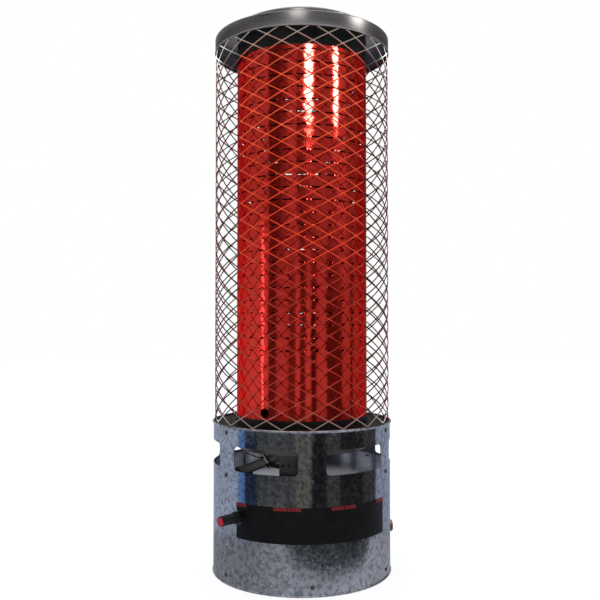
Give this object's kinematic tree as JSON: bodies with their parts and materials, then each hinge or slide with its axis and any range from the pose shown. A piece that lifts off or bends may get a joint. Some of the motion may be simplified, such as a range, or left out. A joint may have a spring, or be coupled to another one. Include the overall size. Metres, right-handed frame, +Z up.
{
  "type": "upright gas-fired radiant heater",
  "caption": "Upright gas-fired radiant heater: round galvanized base with air windows, slotted glowing tube, diamond wire guard, raised round cap and a push button on the base.",
  "frame": {"origin": "centre of the base's underside, on the floor", "axes": "+Z up along the heater; the label and the push button face -Y; the gas inlet points along +X"},
  "size_m": [0.392, 0.386, 1.171],
  "materials": {
    "galvanized_sheet": "spangled galvanized, satin",
    "dark_enamel": "heat-resistant black, satin",
    "inner_sheet": "dull aluminized",
    "dark_steel": "dark brown, matte",
    "plated_screw": "zinc plated",
    "hot_tube": "mirror-bright, glowing red",
    "cap_steel": "brushed along its band",
    "guard_wire": "bright expanded metal",
    "mixer_steel": "smooth bright",
    "burner_iron": "rough cast",
    "fitting_brass": "machined",
    "pipe_aluminium": "drawn tube",
    "black_plastic": "moulded, satin",
    "red_plastic": "glossy",
    "sensor_steel": "bright",
    "lead_sleeve": "dark sleeve",
    "label_film": "black film, satin",
    "label_red": "red film"
  },
  "bodies": {
    "heater": {"barrel_nut": "fitting_brass", "base_shell": "galvanized_sheet", "bottom_pan": "galvanized_sheet", "bottom_screws": "plated_screw", "burner_drum": "inner_sheet", "burner_head": "burner_iron", "burner_stand": "inner_sheet", "burner_tray": "inner_sheet", "cap_band": "cap_steel", "cap_lid": "cap_steel", "cap_plate": "cap_steel", "centre_bolt": "plated_screw", "centre_nut": "plated_screw", "control_bracket": "dark_steel", "deck_pan": "dark_enamel", "deck_screws": "plated_screw", "feed_pipe": "pipe_aluminium", "flame_spreader": "inner_sheet", "foot_ring": "dark_enamel", "gas_jet": "fitting_brass", "guard_mesh": "guard_wire", "inlet_fitting": "fitting_brass", "inlet_nut": "fitting_brass", "inlet_pipe": "pipe_aluminium", "label_band": "label_film", "label_tabs": "label_red", "lead_nut": "fitting_brass", "lid_spacer": "plated_screw", "magnet_cap": "fitting_brass", "mixer_saddle": "inner_sheet", "mixer_tube": "mixer_steel", "radiant_tube": "hot_tube", "reset_barrel": "black_plastic", "reset_spring": "plated_screw", "thermocouple": "sensor_steel", "thermocouple_clamp": "dark_steel", "thermocouple_lead": "lead_sleeve", "tray_screws": "plated_screw", "tube_cap": "dark_enamel", "valve_body": "fitting_brass"},
    "reset_button": {"reset_button": "red_plastic", "reset_stem": "plated_screw"}
  },
  "joints": [
    {"name": "button_press", "type": "slide", "parent": "heater", "child": "reset_button", "axis": [0.7431, 0.6691, 0], "range_m": [0, 0.006], "stiffness_N_per_m": 600, "springref_m": -0.002, "deforming": ["reset_spring"]}
  ]
}
